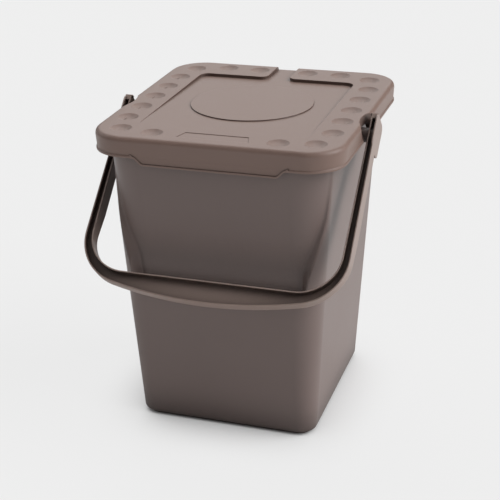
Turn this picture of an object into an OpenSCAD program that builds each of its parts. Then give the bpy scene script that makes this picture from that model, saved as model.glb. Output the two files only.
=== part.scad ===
// Kerbside compost caddy: tapered bucket, hinged lid with dished border, and a locking bail handle.
// Frame: origin at the centre of the resting face, +Z up, front of the caddy towards -Y.

/* [Bucket] */
// Half width of the bucket where the walls start, just above the foot
base_half_x = 116.1; // [108:0.5:124]
// Half depth of the bucket where the walls start
base_half_y = 121.2; // [114:0.5:128]
// Height of the bucket rim above the resting face
rim_z = 380.5; // [360:0.5:400]
// Outward lean of each side wall over the bucket's height, as a slope
side_slope = 0.0613; // [0.05:0.001:0.066]
// Outward lean of the front wall, as a slope
front_slope = 0.0674; // [0.06:0.001:0.07]
// Outward lean of the back wall, as a slope
back_slope = 0.1205; // [0.1:0.001:0.124]
// Corner radius at the base
base_r = 21.6; // [16:0.2:28]
// Corner radius at the rim
rim_r = 45; // [38:0.5:48]
// Wall thickness of the bucket
wall = 3; // [2.4:0.1:3.6]
// Height of the recessed foot that the bucket stands on
foot_h = 4; // [3:0.5:8]
// Inset of the foot from the bucket's bottom edge
foot_inset = 6; // [4:0.5:9]

/* [Hand recess in the front] */
// Height of the ledge under the recess
ledge_z = 203; // [190:1:215]
// Depth of the recess at the ledge
recess_low = 18; // [12:0.5:19]
// Depth of the recess at the rim
recess_top = 7; // [6:0.5:9]
// Half width of the recess at the ledge's corner centres
recess_half = 132.5; // [126:0.5:133]
// Radius of the two lower corners of the recess, seen from the front
recess_r = 70; // [50:1:75]
// Radius of the fillet between the ledge and the recessed wall
recess_fillet = 9; // [5:0.5:11]

/* [Lid] */
// Half width of the lid
lid_half_x = 154.8; // [153:0.2:155]
// Depth of the lid from front to back
lid_depth = 332.9; // [331:0.5:334]
// Overhang of the lid past the hinge line
hinge_overhang = 6.3; // [5.5:0.1:7]
// Corner radius of the lid
lid_r = 45; // [40:0.5:50]
// Height of the lid's border above the rim
lid_rise = 7.5; // [7.3:0.1:8]
// Wall thickness of the lid
lid_wall = 2.5; // [2:0.1:2.8]
// Height of the lid's skirt
skirt_h = 25; // [22:0.5:26]
// Radius of the rounded upper edge
lid_edge_r = 6; // [4:0.5:7]
// Depth of the front pull tab below the skirt
tab_drop = 8.5; // [5:0.5:11]
// Half width of the front pull tab at its lower edge
tab_half = 81; // [70:1:88]
// Width of the flared lip round the lower edge of the skirt
lip_w = 1.2; // [0.8:0.1:1.2]
// Height of the flared lip
lip_h = 2.2; // [1.5:0.1:3]

/* [Lid top] */
// Diameter of a dimple in the border
dimple_d = 26.4; // [20:0.2:28]
// Depth of a dimple
dimple_depth = 2.6; // [1.5:0.1:3.2]
// Distance between the dimples along the sides
dimple_pitch = 44.5; // [42:0.5:46]
// Half width of the sunken panel
panel_half = 105.8; // [100:0.2:107]
// Slope of the panel, which drains to the back, in degrees
panel_slope = 0.95; // [0.6:0.05:1]
// Radius of the raised disc in the panel
disc_r = 77.4; // [60:0.2:85]
// Height of the raised disc
disc_h = 1.3; // [0.8:0.1:1.8]
// Half width of the drain gap in the back border
drain_half = 14.8; // [10:0.2:16]
// Radius of the border's corners at the drain gap
drain_r = 10; // [4:0.5:12]
// Width of the blank plate on the front border
plate_w = 88; // [60:1:96]
// Height of the blank plate, front to back
plate_d = 18; // [12:0.5:20]
// Depth of the scoop in each side of the lid beside the handle
scoop = 7.9; // [6:0.1:8]
// Radius of the scoop
scoop_r = 60; // [52:1:66]

/* [Handle] */
// Height of the handle's pivots below the rim
pivot_drop = 15.5; // [15:0.5:18]
// Distance of the pivots behind the centre of the base, front is negative
pivot_y = -4.9; // [-8:0.1:-2]
// Distance from the pivots to the inner edge of the grip
arm_len = 215.2; // [209:0.2:219]
// Angle between the lowered handle and a plumb line
rest_angle = 47; // [46:0.5:50]
// Half width between the arms at the bend
bail_half_low = 156.4; // [155.4:0.1:157]
// Half width between the arms at the pivots
bail_half_top = 157.2; // [156.6:0.1:157.8]
// Radius of the bends inside
bend_in_r = 49.3; // [40:0.1:56]
// Radius of the bends outside
bend_out_r = 63; // [58:0.5:66]
// Width of the strap at the pivots
strap_top = 8; // [7.8:0.1:9]
// Width of the strap where the arms meet the bends
strap_low = 10.2; // [10:0.1:11.5]
// Width of the grip at its centre
grip_w = 28.1; // [24:0.1:30]
// Thickness of the two edges of the strap
edge_t = 1.6; // [1.4:0.1:1.8]
// Thickness of the web between the edges
web_t = 2; // [1.6:0.1:2.4]
// Depth of the open channel in front of the web
channel_d = 8.5; // [6:0.1:9]
// Front to back depth of the edges along the arms
arm_depth = 20.6; // [17:0.1:22]
// Front to back depth of the edges at the grip
grip_depth = 12.2; // [11.2:0.1:14]
// Distance from the pivot to the front of the channel
pivot_set = 11.6; // [10.5:0.1:12]
// Distance from the pivot to the end of the arm
end_len = 24.5; // [23:0.1:25]
// Height of the solid block at the end of the arm
end_block = 7; // [5:0.5:8]
// Reach of the locking nub in from the arm
nub = 1.7; // [1.2:0.1:1.7]

/* [Pivots and hinge] */
// Diameter of a handle pivot pin
pin_d = 12; // [10:0.1:12]
// Running clearance of a pin, on the radius
pin_gap = 0.1; // [0.05:0.01:0.12]
// Diameter of the shoulder that carries a pivot pin
boss_d = 18; // [16:0.5:18]
// Diameter of the hub round a pivot pin
hub_d = 17; // [15.5:0.5:17]
// Diameter of the hinge bar
bar_d = 7; // [6:0.1:7]
// Distance of the hinge bar below the rim
bar_drop = 14; // [13.5:0.1:15]
// Distance of the two hinges from the centre line
hinge_x = 70; // [50:1:76]
// Half length of a hinge bar
bar_half = 17; // [12:0.5:20]
// Thickness of a hinge cheek
cheek_t = 3.5; // [3:0.1:4]
// Gap between parts that meet but don't rub
clear = 0.3; // [0.25:0.05:0.35]

/* [Hidden] */
$fn = 64;
brown = [0.42, 0.36, 0.335];
top_brown = [0.44, 0.38, 0.355];
corner_n = 10;
lid_top = rim_z + lid_rise;
lid_back = back_y(rim_z) + 17.6;
lid_front = lid_back - lid_depth;
skirt_z = lid_top - skirt_h;
pivot_z = rim_z - pivot_drop;
bar_y = lid_back - hinge_overhang;
bar_z = rim_z - bar_drop;
boss_x = bail_half_top - clear;
pin_end = bail_half_top + strap_top - edge_t - 2 * clear;
dimple_ball = (pow(dimple_d / 2, 2) + pow(dimple_depth, 2)) / (2 * dimple_depth);
panel_front = lid_front + 47.8;
panel_back = lid_back - 55.5;
border_y = (lid_front + lid_back) / 2;
seat_z = rim_z + clear;
rim_lip = 4.3;

// Outline of the bucket at height z
function half_x(z) = base_half_x + side_slope * (z - foot_h);
function front_y(z) = -base_half_y - front_slope * (z - foot_h);
function back_y(z) = base_half_y + back_slope * (z - foot_h);
function corner_r(z) = base_r + (rim_r - base_r) * (z - foot_h) / (rim_z - foot_h);
// Depth of the hand recess at height z
function recess(z) = recess_low + (recess_top - recess_low) * (z - ledge_z) / (rim_z - ledge_z);

// A ring of points round a rectangle with rounded corners, at height z
function ring(hx, y0, y1, r, z) = [
    for (q = [0:3], i = [0:corner_n])
        let (a = 90 * (q + i / corner_n),
             cx = (q == 0 || q == 3) ? hx - r : r - hx,
             cy = q < 2 ? y1 - r : y0 + r)
        [cx + r * cos(a), cy + r * sin(a), z]
];
// The bucket's outline moved in by t, with the front set back by the recess when cut is 1
function bucket_ring(z, t, cut) =
    ring(half_x(z) - t, front_y(z) + t + cut * recess(z), back_y(z) - t, corner_r(z) - t, z);

// Skins a stack of rings that all have the same number of points
module loft(rings) {
    n = len(rings[0]);
    m = len(rings);
    polyhedron(
        points = [for (g = rings) each g],
        faces = concat(
            [[for (i = [0:n - 1]) i]],
            [[for (i = [n - 1:-1:0]) (m - 1) * n + i]],
            [for (j = [0:m - 2], i = [0:n - 1])
                let (k = (i + 1) % n, a = j * n) each [[a + i, a + n + i, a + n + k], [a + i, a + n + k, a + k]]]
        ),
        convexity = 8
    );
}

// A rectangle with rounded corners, from y0 to y1
module pad(hx, y0, y1, r) {
    translate([-hx + r, y0]) square([2 * (hx - r), y1 - y0]);
    translate([-hx, y0 + r]) square([2 * hx, y1 - y0 - 2 * r]);
    for (x = [-hx + r, hx - r], y = [y0 + r, y1 - r]) translate([x, y]) circle(r);
}

// The front view of the recess, swept backwards with its fillet; e grows it for the inner wall
module recess_tool(e) {
    steps = 5;
    y_in = front_y(ledge_z) + recess_low;
    prof = concat(
        [[y_in - 70, -e], [y_in - recess_fillet - 0.5, -e]],
        [for (i = [1:steps]) let (a = 90 * i / steps)
            [y_in - recess_fillet * (1 - sin(a)), recess_fillet * (1 - cos(a)) - e]],
        [[y_in + 60, recess_fillet - e]]
    );
    loft([for (p = prof) recess_ring(p[0], p[1])]);
}
// One outline of the recess, seen from the front, at depth y
function recess_ring(y, e) =
    let (zc = ledge_z + recess_r, z1 = rim_z + 30, r = recess_r - e, w = recess_half - e, n = 14)
    concat(
        [[w + side_slope * (z1 - zc), y, z1]],
        [for (i = [0:n]) let (a = 90 * i / n) [w - r + r * cos(a), y, zc - r * sin(a)]],
        [for (i = [n:-1:0]) let (a = 90 * i / n) [-(w - r + r * cos(a)), y, zc - r * sin(a)]],
        [[-(w + side_slope * (z1 - zc)), y, z1]]
    );

// The bucket's form: t is the distance in from the outside, z0 the bottom and z1 the top
module bucket_form(t, z0, z1) {
    difference() {
        loft(concat(
            t > 0 ? [bucket_ring(z0, t, 0)] : [bucket_ring(z0, 2.6, 0), bucket_ring(z0 + 0.8, 1, 0)],
            [bucket_ring(z0 + 3, t, 0), bucket_ring(z1, t, 0)]
        ));
        recess_tool(t);
    }
    loft([bucket_ring(ledge_z - 20, t + 0.01, 1), bucket_ring(z1, t + 0.01, 1)]);
}

// The stiffening flange round the rim, with its turned-down edge
module rim() {
    x = half_x(rim_z);
    f = front_y(rim_z) + recess_top;
    b = back_y(rim_z);
    difference() {
        translate([0, 0, rim_z - 9]) linear_extrude(9) pad(x + rim_lip, f - rim_lip, b + rim_lip, rim_r);
        translate([0, 0, rim_z - 10])
            linear_extrude(7.6) pad(x + rim_lip - 2, f - rim_lip + 2, b + rim_lip - 2, rim_r - 2);
        translate([0, 0, rim_z - 12]) linear_extrude(14) pad(x - 1.4, f + 1.4, b - 1.4, rim_r - 1.4);
    }
}

// Shoulder and pivot pin for the handle, on both sides
module pivots() {
    for (s = [0, 1]) mirror([s, 0, 0]) translate([0, pivot_y, pivot_z]) rotate([0, 90, 0]) {
        translate([0, 0, half_x(pivot_z) - 1.5]) cylinder(h = boss_x - half_x(pivot_z) + 1.5, d = boss_d);
        translate([0, 0, boss_x - 1]) cylinder(h = pin_end - boss_x + 1, d = pin_d);
    }
}

// The two hinge bars between their cheeks, on the back wall
module hinge_lugs() {
    for (s = [-1, 1]) {
        translate([s * hinge_x - bar_half - cheek_t, bar_y, bar_z]) rotate([0, 90, 0])
            cylinder(h = 2 * (bar_half + cheek_t), d = bar_d);
        for (c = [-bar_half - cheek_t, bar_half])
            translate([s * hinge_x + c, 0, 0]) rotate([90, 0, 90]) linear_extrude(cheek_t) {
                translate([bar_y, bar_z]) circle(d = bar_d + 6);
                polygon([
                    [back_y(bar_z - 34) - 1, bar_z - 34],
                    [back_y(bar_z - 34) + 4, bar_z - 34],
                    [bar_y + 3.4, bar_z - 5.7],
                    [bar_y, bar_z + bar_d / 2 + 3],
                    [back_y(rim_z) + 1, rim_z - 3],
                    [back_y(rim_z) - 1, rim_z - 3]
                ]);
            }
    }
}

module bucket() {
    color(brown) {
        difference() {
            bucket_form(0, foot_h, rim_z);
            bucket_form(wall, foot_h + wall, rim_z + 2);
            loft([for (z = [foot_h - 0.5 * wall + 1, foot_h + wall + 1])
                bucket_ring(z, foot_inset + wall, 0)]);
        }
        difference() {
            linear_extrude(foot_h + 1)
                pad(base_half_x - foot_inset, foot_inset - base_half_y, base_half_y - foot_inset, base_r - 4);
            translate([0, 0, wall]) linear_extrude(foot_h + 2)
                pad(base_half_x - foot_inset - wall, foot_inset + wall - base_half_y,
                    base_half_y - foot_inset - wall, base_r - 4 - wall);
        }
        rim();
        pivots();
        hinge_lugs();
    }
}

// A shallow dish with a flat bottom, cut into the border
module dish() {
    flat = 3;
    low = dimple_ball - sqrt(pow(dimple_ball, 2) - flat * flat);
    n = 4;
    rotate_extrude() polygon(concat(
        [[0, 1], [0, low - dimple_depth]],
        [for (i = [0:n]) let (r = flat + (dimple_d / 2 - flat) * i / n)
            [r, dimple_ball - dimple_depth - sqrt(pow(dimple_ball, 2) - r * r)]],
        [[dimple_d / 2, 1]]
    ));
}

// Places its children at every dimple
module at_dimples() {
    x = lid_half_x - 25.8;
    for (s = [-1, 1]) {
        for (i = [0:4]) translate([s * x, border_y + dimple_pitch * (i - 2) - 2.5, lid_top]) children();
        translate([s * (x - 8.9), lid_front + 33.2, lid_top]) children();
        translate([s * (x - 8.3), lid_back - 37.8, lid_top]) children();
        for (p = [78.3, 33.5]) translate([s * p, lid_back - 25.8, lid_top]) children();
        translate([s * 77.5, lid_front + 25.9, lid_top]) children();
    }
}

// The sunken panel with its drain gap, grown by g for the underside and lowered by d
module panel(g, d) {
    translate([0, panel_front, lid_top - d]) rotate([-panel_slope, 0, 0]) linear_extrude(30) {
        pad(panel_half + g, -g, panel_back - panel_front + g, 12 + g);
        translate([-drain_half - g, 40]) square([2 * (drain_half + g), lid_back - panel_front + 20]);
        for (s = [-1, 1]) difference() {
            translate([s > 0 ? drain_half + g - 1 : -drain_half - drain_r, panel_back - panel_front + g - 1])
                square(drain_r - g + 1);
            translate([s * (drain_half + drain_r), panel_back - panel_front + drain_r]) circle(drain_r - g);
        }
    }
}

// The raised disc, level with the panel's slope
module disc() {
    translate([0, panel_front, lid_top]) rotate([-panel_slope, 0, 0])
        translate([0, border_y + 2.6 - panel_front, -lid_wall / 2]) cylinder(h = lid_wall / 2 + disc_h, r = disc_r, $fn = 128);
}

// Outline of the lid, moved in by t
function lid_ring(z, t) = ring(lid_half_x - t, lid_front + t, lid_back - t, lid_r - t, z);

// The front pull tab, seen from the front, with its two S-shaped ends
module tab_face(g) {
    n = 8;
    s = [for (i = [0:n]) let (u = i / n) [13 * u, tab_drop * (1 - cos(180 * u)) / 2]];
    polygon(concat(
        [for (p = s) [tab_half + g + p[0], -tab_drop + p[1]]],
        [[tab_half + 16, 4], [-tab_half - 16, 4]],
        [for (i = [n:-1:0]) [-tab_half - g - s[i][0], -tab_drop + s[i][1]]]
    ));
}

module scoops(r) {
    for (s = [-1, 1])
        translate([s * (lid_half_x - scoop + scoop_r), pivot_y - 6, lid_top]) sphere(r, $fn = 96);
}

module lid_shell() {
    e = lid_edge_r;
    difference() {
        loft(concat(
            [lid_ring(skirt_z, 1.2 - lip_w), lid_ring(skirt_z + lip_h, 1.2 - lip_w), lid_ring(skirt_z + lip_h + 1, 1.1)],
            [for (i = [0:4]) let (a = 22.5 * i) lid_ring(lid_top - e + e * sin(a), e * (1 - cos(a)))]
        ));
        difference() {
            loft([lid_ring(skirt_z - 1, lid_wall + 1.2), lid_ring(lid_top - 7, lid_wall),
                lid_ring(lid_top - lid_wall, lid_wall + 3.5)]);
            panel(lid_wall, lid_wall + 0.01);
            at_dimples() translate([0, 0, -dimple_depth - lid_wall]) cylinder(h = dimple_depth + 1, d = dimple_d - 4);
            scoops(scoop_r + lid_wall);
        }
        panel(0, 0);
        at_dimples() dish();
        scoops(scoop_r);
        translate([0, lid_front + 1.15, skirt_z]) rotate([90, 0, 0]) linear_extrude(4) intersection() {
            translate([0, lip_h]) tab_face(-0.6);
            translate([-tab_half - 20, -2]) square([2 * tab_half + 40, lip_h + 3]);
        }
        translate([0, lid_front + 27.1, lid_top - 0.5]) linear_extrude(3)
            polygon([[-plate_w / 2, -plate_d / 2], [plate_w / 2, -plate_d / 2],
                [plate_w / 2 - 5, plate_d / 2], [5 - plate_w / 2, plate_d / 2]]);
    }
}

// Ring under the lid that sits inside the rim, open at the back, and the seat above the rim
module lid_rings() {
    x = half_x(rim_z) - wall - 2;
    f = front_y(rim_z) + recess_top + wall + 2;
    difference() {
        translate([0, 0, rim_z - 9]) linear_extrude(lid_top - lid_wall - rim_z + 9.5) difference() {
            pad(x, f, back_y(rim_z) - 20, rim_r - 5);
            pad(x - 2, f + 2, back_y(rim_z) - 22, rim_r - 7);
            translate([-x - 1, 120]) square([2 * x + 2, 100]);
        }
    }
    translate([0, 0, seat_z]) linear_extrude(lid_top - lid_wall - seat_z + 0.5) difference() {
        pad(x + 6.6, f - 6.6, back_y(rim_z) + 1.6, rim_r);
        pad(x + 4.6, f - 4.6, back_y(rim_z) - 0.4, rim_r - 2);
        translate([-drain_half - lid_wall / 2, 100]) square([2 * drain_half + lid_wall, 100]);
    }
}

module lid() {
    w = bar_half - 0.5;
    slot = boss_d / 2 + 2.5;
    color(top_brown) difference() {
        union() {
            lid_shell();
            disc();
            lid_rings();
            translate([0, lid_front + 3.7, skirt_z]) rotate([90, 0, 0]) linear_extrude(2.5) tab_face(0);
            translate([0, lid_front + 3, skirt_z]) rotate([90, 0, 0]) linear_extrude(3) difference() {
                tab_face(0);
                translate([0, lip_h]) tab_face(-0.6);
            }
        }
        for (s = [-1, 1]) {
            translate([s * (lid_half_x - 5) - 12, pivot_y - slot, skirt_z - 5]) cube([24, 2 * slot, pivot_z + slot - skirt_z + 5]);
            translate([s * hinge_x - bar_half - cheek_t - 2, lid_back - 9, skirt_z - 5])
                cube([2 * (bar_half + cheek_t + 2), 20, bar_z - skirt_z + 16]);
        }
    }
    color(top_brown) for (s = [-1, 1]) translate([s * hinge_x - w, bar_y, bar_z]) rotate([90, 0, 90])
        linear_extrude(2 * w) difference() {
            union() {
                circle(d = bar_d + 7);
                translate([-bar_d / 2 - 3.5, 0]) square([bar_d + 5.5, lid_top - lid_wall - bar_z + 0.6]);
            }
            circle(d = bar_d + 2 * pin_gap);
            translate([-bar_d * 0.4, -bar_d - 4]) square([bar_d * 0.8, bar_d + 4]);
        }
}

// Everything inside the inner edge of the handle, grown by g; x across, y up from the pivots
module bail_inside(g) {
    zc = bend_in_r - arm_len;
    c = bail_half_low - bend_in_r;
    polygon([[-c, zc - bend_in_r - g], [c, zc - bend_in_r - g], [c, zc], [bail_half_low + g, zc],
        [bail_half_top + g, 0], [bail_half_top + g, 60], [-bail_half_top - g, 60], [-bail_half_top - g, 0],
        [-bail_half_low - g, zc], [-c, zc]]);
    for (s = [-c, c]) translate([s, zc]) circle(bend_in_r + g);
}

// The outer outline of the handle, shrunk by g; the grip's lower edge is a shallow bow
module bail_outline(g) {
    bow = 535;
    top_x = bail_half_top + strap_top;
    low_x = bail_half_low + strap_low;
    c = low_x - bend_out_r;
    zb = bow - arm_len - grip_w;
    k = bow - bend_out_r;
    zc = zb - sqrt(k * k - c * c);
    polygon([[-low_x + g, zc], [low_x - g, zc], [top_x - g, 0], [top_x - g, end_len],
        [-top_x + g, end_len], [-top_x + g, 0]]);
    for (s = [-c, c]) translate([s, zc]) circle(bend_out_r - g);
    intersection() {
        translate([0, zb]) circle(bow - g, $fn = 360);
        polygon([[-c, zc + 1], [c, zc + 1], [c * 1.25, zc + (zc - zb) * 0.25], [-c * 1.25, zc + (zc - zb) * 0.25]]);
    }
}

// Extrudes a front view of the handle between two depths behind the channel's front
module strap(d0, d1) {
    translate([0, d1 - pivot_set, 0]) rotate([90, 0, 0]) linear_extrude(d1 - d0) children();
}

// Side view of the handle: deep arms that thin towards the grip
module bail_side() {
    y = -pivot_set;
    rotate([90, 0, 90]) translate([0, 0, -200]) linear_extrude(400)
        polygon([[y - 1, end_len], [y + arm_depth, end_len], [y + arm_depth, -arm_len * 0.64],
            [y + grip_depth, 8 - arm_len], [y + grip_depth, -arm_len - grip_w - 5], [y - 1, -arm_len - grip_w - 5]]);
}

module bail() {
    top_x = bail_half_top + strap_top;
    difference() {
        union() {
            intersection() {
                bail_side();
                strap(0, arm_depth) difference() {
                    bail_outline(0);
                    bail_inside(0);
                    difference() {
                        bail_outline(edge_t);
                        bail_inside(edge_t);
                    }
                }
            }
            strap(channel_d, channel_d + web_t) difference() {
                bail_outline(0);
                bail_inside(0);
            }
            for (s = [0, 1]) mirror([s, 0, 0]) {
                translate([bail_half_top, -pivot_set, end_len - end_block])
                    cube([strap_top, arm_depth, end_block]);
                translate([bail_half_top - nub, -pivot_set, end_len - 1.6]) cube([nub + 1, 5, 1.6]);
                rotate([0, 90, 0]) translate([0, 0, bail_half_top]) cylinder(h = strap_top, d = hub_d);
                translate([top_x - edge_t, 0, 0]) rotate([90, 0, 90]) linear_extrude(edge_t) hull()
                    for (y = [-6.5, 16.5], z = [-13, end_len - 8]) translate([y, z]) circle(8);
            }
        }
        for (s = [0, 1]) mirror([s, 0, 0]) rotate([0, 90, 0]) translate([0, 0, bail_half_top - 1])
            cylinder(h = pin_end + clear - bail_half_top + 1, r = pin_d / 2 + pin_gap);
    }
}

module handle() {
    color(brown) translate([0, pivot_y, pivot_z]) rotate([-rest_angle, 0, 0]) bail();
}

bucket();
lid();
handle();
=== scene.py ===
"""Compost caddy with a hinged lid and a lowered bail handle, on a pale floor in soft studio light."""

import math

import bmesh
import bpy
import numpy as np
from mathutils import Matrix, Vector


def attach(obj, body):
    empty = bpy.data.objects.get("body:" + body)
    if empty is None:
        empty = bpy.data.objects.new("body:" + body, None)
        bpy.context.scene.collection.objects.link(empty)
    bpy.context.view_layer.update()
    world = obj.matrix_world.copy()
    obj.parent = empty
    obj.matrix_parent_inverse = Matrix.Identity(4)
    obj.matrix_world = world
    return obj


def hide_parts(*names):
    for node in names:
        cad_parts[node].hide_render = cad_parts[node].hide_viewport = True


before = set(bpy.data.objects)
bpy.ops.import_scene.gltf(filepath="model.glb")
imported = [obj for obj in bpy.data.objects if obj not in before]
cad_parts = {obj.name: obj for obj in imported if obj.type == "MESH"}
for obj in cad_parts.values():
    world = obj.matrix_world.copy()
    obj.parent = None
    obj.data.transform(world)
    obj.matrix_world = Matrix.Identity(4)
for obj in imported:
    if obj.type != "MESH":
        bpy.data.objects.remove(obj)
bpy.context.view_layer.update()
scene = bpy.context.scene

MM = 0.001


# ---- node expressions -------------------------------------------------------------------------

class S:
    """A socket that takes part in sums, and makes Math nodes as it does."""

    def __init__(self, tree, socket):
        self.tree, self.socket = tree, socket

    def math(self, op, *others):
        node = self.tree.nodes.new("ShaderNodeMath")
        node.operation = op
        for slot, v in zip(node.inputs, (self, *others)):
            plug(self.tree, slot, v)
        return S(self.tree, node.outputs[0])

    def __add__(self, o):
        return self.math("ADD", o)

    def __radd__(self, o):
        return self.math("ADD", o)

    def __sub__(self, o):
        return self.math("SUBTRACT", o)

    def __rsub__(self, o):
        return (self * -1.0).math("ADD", o)

    def __mul__(self, o):
        return self.math("MULTIPLY", o)

    def __rmul__(self, o):
        return self.math("MULTIPLY", o)

    def clip(self, low, high):
        return self.math("MAXIMUM", low).math("MINIMUM", high)

    def step(self, low, high):
        """0 below low, 1 above high, smooth between."""
        node = self.tree.nodes.new("ShaderNodeMapRange")
        node.interpolation_type = "SMOOTHSTEP"
        plug(self.tree, node.inputs["Value"], self)
        node.inputs["From Min"].default_value = low
        node.inputs["From Max"].default_value = high
        return S(self.tree, node.outputs["Result"])


def plug(tree, slot, v):
    """Gives a socket its link or its value."""
    if isinstance(v, S):
        tree.links.new(v.socket, slot)
    else:
        slot.default_value = v


def add(tree, kind, settings=None, out=0, at=None, **inputs):
    """Makes a node with its settings and inputs, by name or by number in at, and gives its output."""
    node = tree.nodes.new(kind)
    for k, v in (settings or {}).items():
        setattr(node, k, v)
    for k, v in inputs.items():
        plug(tree, node.inputs[k.replace("_", " ")], v)
    for k, v in (at or {}).items():
        plug(tree, node.inputs[k], v)
    return S(tree, node.outputs[out])


def mix(tree, factor, a, b):
    """A blend of two colours."""
    return add(tree, "ShaderNodeMix", {"data_type": "RGBA"}, out=2, at={0: factor, 6: a, 7: b})


# ---- finish -----------------------------------------------------------------------------------

def tinted(colour, shares):
    """A colour with each channel times its share, at most 1."""
    return (*(min(1, c * k) for c, k in zip(colour, shares)), 1)


def plastic(name, colour, deep, rough=0.42, painted_shade=0.75):
    """Satin moulded plastic: mottled between two browns, fine grain, scuffs, with edges lightened as painted
    highlight and corners and crevices darkened as painted shade.
    """
    mat = bpy.data.materials.new(name)
    mat.use_nodes = True
    t = mat.node_tree
    shader = t.nodes["Principled BSDF"]
    place = add(t, "ShaderNodeTexCoord", out=3)
    flow = add(t, "ShaderNodeTexNoise", Vector=place, Scale=9.0, Detail=3.0, Roughness=0.5)
    speck = add(t, "ShaderNodeTexNoise", Vector=place, Scale=420.0, Detail=2.0, Roughness=0.6)
    fine = add(t, "ShaderNodeTexNoise", Vector=place, Scale=2600.0, Detail=2.0, Roughness=0.55)
    pebble = add(t, "ShaderNodeTexVoronoi", {"feature": "SMOOTH_F1"}, Vector=place, Scale=1500.0,
                 Smoothness=0.6)
    squeezed = add(t, "ShaderNodeMapping", Vector=place, Rotation=(0.2, 0.5, 0.7), Scale=(1.0, 14.0, 1.0))
    streak = add(t, "ShaderNodeTexNoise", Vector=squeezed, Scale=38.0, Detail=4.0, Roughness=0.65)
    scuff = streak.step(0.66, 0.78) * speck.step(0.42, 0.62)

    # A rounded normal that leaves the true one marks an edge, and open_air is low in a crevice
    rounded = add(t, "ShaderNodeBevel", {"samples": 4}, Radius=0.0012)
    true = add(t, "ShaderNodeNewGeometry", out=1)
    turn = 1.0 - add(t, "ShaderNodeVectorMath", {"operation": "DOT_PRODUCT"}, out=1,
                     at={0: rounded, 1: true})
    open_air = add(t, "ShaderNodeAmbientOcclusion", {"samples": 6}, out=1, Distance=0.06)
    # Painted highlight: open edges, where the rounded normal turns away from the true one, are made lighter
    painted_edge_highlight = turn.step(0.03, 0.22) * open_air.step(0.35, 0.8)

    tone = mix(t, (flow * 0.7 + speck * 0.3).clip(0.0, 1.0), (*deep, 1), (*colour, 1))
    # Scuffs are real wear; the lighter edges are a painted highlight
    scuffed_and_highlit = mix(t, (scuff * 0.16 + painted_edge_highlight * 0.75).clip(0.0, 1.0), tone, tinted(colour, (1.7, 1.75, 1.8)))
    # Painted shade: where little open air reaches, in crevices, above the grip and under the lid's skirt,
    # the colour is darkened towards a deep brown
    painted_shade_tone = mix(t, (1.0 - open_air).step(0.06, 0.62) * painted_shade, scuffed_and_highlit, tinted(deep, (0.16, 0.13, 0.12)))
    plug(t, shader.inputs["Base Color"], painted_shade_tone)
    plug(t, shader.inputs["Roughness"],
         (speck * 0.09 + scuff * 0.14 + flow * 0.08 + (rough - 0.09)).clip(0.12, 0.9))
    relief = fine * 0.35 + pebble * 0.45 + speck * 0.35 - scuff * 0.3
    bump = add(t, "ShaderNodeBump", Strength=0.22, Distance=0.00012, Height=relief, Normal=rounded)
    plug(t, shader.inputs["Normal"], bump)
    return mat


body_mat = plastic("bucket_plastic", (0.214, 0.160, 0.146), (0.190, 0.140, 0.127))
lid_mat = plastic("lid_plastic", (0.236, 0.156, 0.129), (0.216, 0.140, 0.114))
bail_mat = plastic("handle_plastic", (0.335, 0.250, 0.218), (0.302, 0.222, 0.190), rough=0.38, painted_shade=0.95)


# ---- mouldings --------------------------------------------------------------------------------

# Points closer than this are one point
WELD = 2e-6
# The top of the lid's border, and how close to it a point has to be to lie on it
LID_TOP = 0.388
ON_TOP = 2e-5
# An edge that turns by more than this is left crisp; less on top, where the dimples' rims are shallow
CRISP = math.radians(26)
CRISP_ON_TOP = math.radians(12)


def moulding(name):
    """The solid's mesh as one joined skin, ready for smooth shading."""
    bm = bmesh.new()
    bm.from_mesh(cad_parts[name].data)
    bmesh.ops.remove_doubles(bm, verts=bm.verts, dist=WELD)
    return bm


def set_out(name, bm, finish):
    """Makes the skin a piece that stands for the node: smooth over its curves, crisp at its edges."""
    for e in bm.edges:
        turn = e.calc_face_angle(0) if len(e.link_faces) == 2 else 0
        on_top = min(v.co.z for v in e.verts) > LID_TOP - ON_TOP
        e.smooth = turn < (CRISP_ON_TOP if on_top else CRISP)
    mesh = bpy.data.meshes.new(name + "_moulding")
    bm.to_mesh(mesh)
    bm.free()
    mesh.polygons.foreach_set("use_smooth", [True] * len(mesh.polygons))
    mesh.materials.append(finish)
    piece = bpy.data.objects.new(name + "_moulding", mesh)
    scene.collection.objects.link(piece)
    even = piece.modifiers.new("even_shading", "WEIGHTED_NORMAL")
    even.keep_sharp = True
    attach(piece, name)
    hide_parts(name)


# ---- bucket: its front is made again as a fine grid, which carries the hand recess ------------

# The bucket's outline at height z, in millimetres, as the solid has it
FOOT_H = 4
RISE = 376.5
WALL = 3
LEDGE_Z = 203
LEDGE_DEPTH = 18
TOP_DEPTH = 7


def half_x(z):
    return 116.1 + 0.0613 * (z - FOOT_H)


def front_y(z):
    return -121.2 - 0.0674 * (z - FOOT_H)


def corner_r(z):
    return 21.6 + 23.4 * (z - FOOT_H) / RISE


def hollow(z):
    """Depth of the hand recess."""
    climb = (np.maximum(z, LEDGE_Z) - LEDGE_Z) / (RISE + FOOT_H - LEDGE_Z)
    return LEDGE_DEPTH - (LEDGE_DEPTH - TOP_DEPTH) * climb


# The edge of the recess: how far it runs round the bucket from the middle, at each height
EDGE_Z = [190, 192, 196, 206, 224, 242, 260, 277, 294, 312, 330, 371]
EDGE_ROUND = [100, 107, 110, 113, 117, 124.5, 132.5, 140.5, 147.5, 152.5, 157, 165]
# The grid's own edges: its lowest and highest rows, and where it ends on the sides
GRID_LOW = 10
GRID_HIGH = 371
SIDE_END = -60


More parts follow.
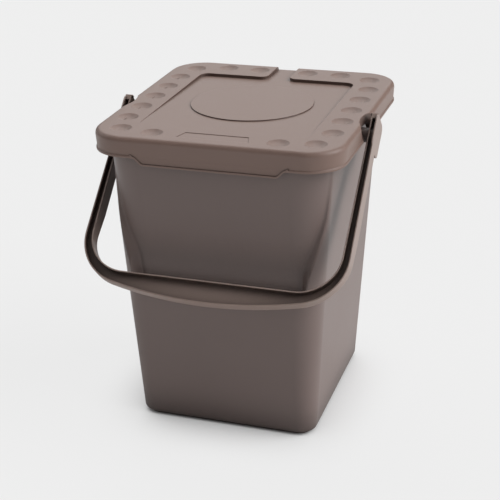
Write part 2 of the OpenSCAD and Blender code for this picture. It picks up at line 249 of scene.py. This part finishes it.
def ring_points(c, z, inset, cut):
    """Points round the front half at height z.

    c runs from 0 to 1 along the flat, to 2 round the corner and to 3 along the side. cut is 1 on the
    floor of the recess and 0 on the outer form.
    """
    round_share = np.clip(c - 1, 0, 1)
    hx = half_x(z) - inset
    fy = front_y(z) + inset + cut * hollow(z) * (1 - 0.5 * round_share)
    r = corner_r(z) - inset + cut * 3 * np.clip((GRID_HIGH - z) / 60, 0, 1)
    a = round_share * math.pi / 2
    x = (hx - r) * np.minimum(c, 1) + r * np.sin(a)
    y = fy + r - r * np.cos(a)
    y = y + np.clip(c - 2, 0, 1) * (SIDE_END - y)
    return x, y


def recess_share(c, z, inset):
    """0 on the outer form, 1 on the recess floor, with a rounded step between them that widens upwards."""
    r = corner_r(z)
    run = (half_x(z) - r) * np.minimum(c, 1)
    run = run + r * math.pi / 2 * np.clip(c - 1, 0, 1) + 40 * np.clip(c - 2, 0, 1)
    ledge_points, side_points = 30, 260
    side_heights = np.linspace(EDGE_Z[0], EDGE_Z[-1] + 25, side_points)
    heights = np.concatenate([np.full(ledge_points, EDGE_Z[0]), side_heights])
    reach = np.concatenate([np.linspace(0, EDGE_ROUND[0], ledge_points),
                            np.interp(side_heights, EDGE_Z, EDGE_ROUND)])
    far = np.full(run.shape, np.inf)
    for h, w in zip(heights, reach):
        far = np.minimum(far, np.hypot(run - w, z - h))
    inside = (z > EDGE_Z[0]) & (run < np.interp(z, EDGE_Z, EDGE_ROUND))
    step_width = np.interp(z, [200, 240], [6.5, 15])
    t = np.clip((np.where(inside, far, -far) + inset) / step_width, 0, 1)
    return t * t * (3 - 2 * t)


def front_skin(bm, inset, columns, rows, outward):
    """Adds the front of the bucket, from side to side, as a grid."""
    c = np.concatenate([-columns[:0:-1], columns])
    cc, zz = np.meshgrid(np.abs(c), rows)
    share = recess_share(cc, zz, inset)
    xo, yo = ring_points(cc, zz, inset, 0)
    xi, yi = ring_points(cc, zz, inset, 1)
    x = (xo + (xi - xo) * share) * np.sign(c)
    y = yo + (yi - yo) * share
    verts = [[bm.verts.new((x[i, k] * MM, y[i, k] * MM, zz[i, k] * MM)) for k in range(len(c))]
             for i in range(len(rows))]
    for low, high in zip(verts, verts[1:]):
        for k in range(len(c) - 1):
            quad = (low[k], low[k + 1], high[k + 1], high[k])
            bm.faces.new(quad if outward else quad[::-1])


def bucket_piece():
    """The bucket, with its front cut out and made again, outside and inside."""
    bm = moulding("bucket")
    for point, normal in (((0, SIDE_END * MM, 0), (0, 1, 0)),
                          ((0, 0, GRID_LOW * MM), (0, 0, 1)),
                          ((0, 0, GRID_HIGH * MM), (0, 0, 1))):
        bmesh.ops.bisect_plane(bm, geom=bm.verts[:] + bm.edges[:] + bm.faces[:], dist=1e-7,
                               plane_co=point, plane_no=normal)
    middles = {f: f.calc_center_median() for f in bm.faces}
    front = [f for f, m in middles.items() if m.y < SIDE_END * MM and GRID_LOW * MM < m.z < GRID_HIGH * MM]
    bmesh.ops.delete(bm, geom=front, context="FACES")

    # Columns are close together round the corner, where the recess has its sides
    columns = np.concatenate([np.linspace(0, 0.55, 6), np.linspace(0.57, 1, 26),
                              np.linspace(1.015, 2, 68), np.linspace(2.1, 3, 8)])
    rows = np.concatenate([np.linspace(GRID_LOW, 180, 9), np.arange(184, 370, 1.2), [GRID_HIGH]])
    front_skin(bm, 0, columns, rows, outward=True)
    columns = np.concatenate([np.linspace(0, 0.8, 5), np.linspace(0.85, 2, 26), np.linspace(2.2, 3, 4)])
    rows = np.concatenate([np.linspace(GRID_LOW, 175, 6), np.arange(180, 370, 4), [GRID_HIGH]])
    front_skin(bm, WALL, columns, rows, outward=False)
    set_out("bucket", bm, body_mat)


# ---- lid and handle ---------------------------------------------------------------------------

# The dimples on one side of the lid, in millimetres; the other side mirrors them
DIMPLES = [(129, 15.218 + 44.5 * i) for i in (-2, -1, 0, 1, 2)] + [
    (120.1, -115.532), (120.7, 146.368), (78.3, 158.368), (33.5, 158.368), (77.5, -122.832)]
# A point of a dimple's bowl lies within this distance of its middle, just inside the rim
BOWL_REACH = 13.1
# and less than this below the border, in metres: a bowl is 2.6 mm deep in the solid
BOWL_DROP = 0.0028
DEEPER = 1.35


def lid_piece():
    """The lid, with its dimples a third deeper."""
    bm = moulding("lid")
    for v in bm.verts:
        drop = LID_TOP - v.co.z
        if ON_TOP < drop < BOWL_DROP:
            if any(math.hypot(abs(v.co.x) / MM - x, v.co.y / MM - y) < BOWL_REACH for x, y in DIMPLES):
                v.co.z = LID_TOP - drop * DEEPER
    set_out("lid", bm, lid_mat)


bucket_piece()
lid_piece()
set_out("handle", moulding("handle"), bail_mat)


# ---- stage ------------------------------------------------------------------------------------

FLOOR_SIZE = 14
# A hair below the bucket's foot, so the two faces don't coincide
FLOOR_Z = -0.0002


def pale_floor():
    """A floor that the camera sees as nearly white away from the object, and that holds its shadow."""
    bpy.ops.mesh.primitive_plane_add(size=FLOOR_SIZE, location=(0, 0, FLOOR_Z))
    floor = bpy.context.object
    floor.name = "floor"
    mat = bpy.data.materials.new("floor_paper")
    mat.use_nodes = True
    t = mat.node_tree
    paper = t.nodes["Principled BSDF"]
    paper.inputs["Base Color"].default_value = (0.80, 0.80, 0.80, 1)
    paper.inputs["Roughness"].default_value = 0.9
    paper.inputs["Specular IOR Level"].default_value = 0.0
    lit = add(t, "ShaderNodeEmission", Color=(0.868, 0.868, 0.868, 1))
    open_floor = add(t, "ShaderNodeAmbientOcclusion", {"samples": 16}, out=1, Distance=0.09).step(0.15, 1.0)
    seen = add(t, "ShaderNodeLightPath", out=0)
    both = add(t, "ShaderNodeMixShader", at={0: seen * open_floor * 0.9, 1: S(t, paper.outputs[0]), 2: lit})
    plug(t, t.nodes["Material Output"].inputs["Surface"], both)
    floor.data.materials.append(mat)


def sun(name, azimuth, elevation, power, spread):
    """A soft distant light that stands at azimuth and elevation, in degrees, as seen from the object."""
    light = bpy.data.lights.new(name, "SUN")
    light.energy = power
    light.angle = math.radians(spread)
    o = bpy.data.objects.new(name, light)
    scene.collection.objects.link(o)
    a, e = math.radians(azimuth), math.radians(elevation)
    towards = Vector((math.sin(a) * math.cos(e), -math.cos(a) * math.cos(e), math.sin(e)))
    o.rotation_euler = towards.to_track_quat("Z", "Y").to_euler()


def studio_air():
    """Faint light from all round, more from above, which the camera sees as pale."""
    world = bpy.data.worlds.new("studio")
    scene.world = world
    world.use_nodes = True
    w = world.node_tree
    background = w.nodes["Background"]
    direction = add(w, "ShaderNodeTexCoord", out=0)
    height = add(w, "ShaderNodeSeparateXYZ", out=2, Vector=direction)
    glow = 0.10 + height.step(-0.2, 0.9) * 0.12
    seen = add(w, "ShaderNodeLightPath", out=0)
    plug(w, background.inputs["Strength"], glow * (1.0 - seen) + seen * 0.86)
    background.inputs["Color"].default_value = (1, 1, 1, 1)


pale_floor()
sun("key_right", 100, 35, 2.3, 50)
sun("back_high", -168, 60, 0.52, 40)
sun("back_low", -163, 32, 0.60, 50)
sun("left", -105, 32, 0.45, 50)
sun("front_right", 62, 45, 0.2, 50)
studio_air()


# ---- camera: solved from the photograph's perspective -----------------------------------------

AZIMUTH, ELEVATION, ROLL = (math.radians(v) for v in (18.654, 23.987, -1.442))
CAMERA_AT = (0.4778, -1.4185, 0.8590)
FOCAL_PX = 1257.18
FRAME_PX = 500
SENSOR = 36

back = Vector((math.sin(AZIMUTH) * math.cos(ELEVATION), -math.cos(AZIMUTH) * math.cos(ELEVATION),
               math.sin(ELEVATION)))
level = Vector((math.cos(AZIMUTH), math.sin(AZIMUTH), 0))
above = back.cross(level)
right = level * math.cos(ROLL) + above * math.sin(ROLL)
up = above * math.cos(ROLL) - level * math.sin(ROLL)
camera = bpy.data.objects.new("camera", bpy.data.cameras.new("camera"))
scene.collection.objects.link(camera)
camera.data.sensor_width = SENSOR
camera.data.lens = SENSOR * FOCAL_PX / FRAME_PX
camera.matrix_world = Matrix((*((right[i], up[i], back[i], CAMERA_AT[i]) for i in range(3)), (0, 0, 0, 1)))
scene.camera = camera
scene.view_settings.view_transform = "Standard"
